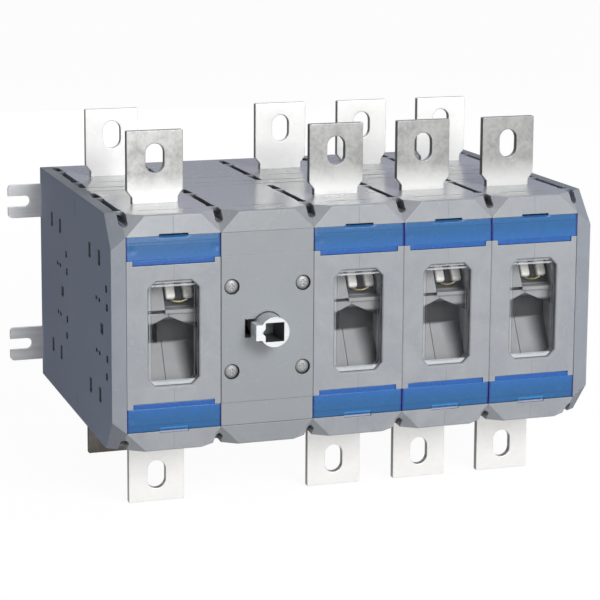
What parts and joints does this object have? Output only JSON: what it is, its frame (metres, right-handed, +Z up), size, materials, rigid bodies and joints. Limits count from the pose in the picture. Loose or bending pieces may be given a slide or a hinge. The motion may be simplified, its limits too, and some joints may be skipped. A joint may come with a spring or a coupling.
{
  "type": "rotary load break switch",
  "caption": "Rotary load break switch with side by side poles in two decks, plated terminal bars above and below, blue covers and a square shaft socket.",
  "frame": {"origin": "centre of the rear mounting plane", "axes": "+X to the right seen from the front, +Y to the back, +Z up; the front faces -Y"},
  "size_m": [0.3952, 0.244, 0.259],
  "materials": {
    "housing": "mottled glass filled moulding",
    "cover": "fine grained moulding",
    "end_plate": "moulded",
    "blue_cover": "glossy",
    "terminal": "silver plated, mottled",
    "pane": "clear moulded plastic, stands for the pane that keeps fingers out",
    "insert": "moulded",
    "contact": "silver plated, bright",
    "shaft": "bright zinc",
    "screw": "zinc",
    "rail": "satin zinc"
  },
  "bodies": {
    "body": {"front_pole_housing_1": "housing", "front_pole_housing_2": "housing", "front_pole_housing_3": "housing", "front_pole_housing_4": "housing", "rear_pole_housing_1": "housing", "rear_pole_housing_2": "housing", "rear_pole_housing_3": "housing", "rear_pole_housing_4": "housing", "front_mechanism_housing": "housing", "rear_mechanism_housing": "housing", "mechanism_cover": "cover", "left_end_plate": "end_plate", "right_end_plate": "end_plate", "upper_blue_cover_1": "blue_cover", "upper_blue_cover_2": "blue_cover", "upper_blue_cover_3": "blue_cover", "upper_blue_cover_4": "blue_cover", "lower_blue_cover_1": "blue_cover", "lower_blue_cover_2": "blue_cover", "lower_blue_cover_3": "blue_cover", "lower_blue_cover_4": "blue_cover", "upper_front_terminal_1": "terminal", "upper_front_terminal_2": "terminal", "upper_front_terminal_3": "terminal", "upper_front_terminal_4": "terminal", "lower_front_terminal_1": "terminal", "lower_front_terminal_2": "terminal", "lower_front_terminal_3": "terminal", "lower_front_terminal_4": "terminal", "upper_rear_terminal_1": "terminal", "upper_rear_terminal_2": "terminal", "upper_rear_terminal_3": "terminal", "upper_rear_terminal_4": "terminal", "lower_rear_terminal_1": "terminal", "lower_rear_terminal_2": "terminal", "lower_rear_terminal_3": "terminal", "lower_rear_terminal_4": "terminal", "window_panes": "pane", "arc_chamber_inserts": "insert", "contact_fingers": "contact", "cover_screws": "screw", "upper_mounting_rail": "rail", "lower_mounting_rail": "rail"},
    "shaft": {"drive_shaft": "shaft", "set_screw": "screw"}
  },
  "joints": [
    {"name": "shaft_turn", "type": "hinge", "parent": "body", "child": "shaft", "pos_m": [-0.065, -0.244, 0], "axis": [0, 1, 0], "range_deg": [0, 90]}
  ]
}
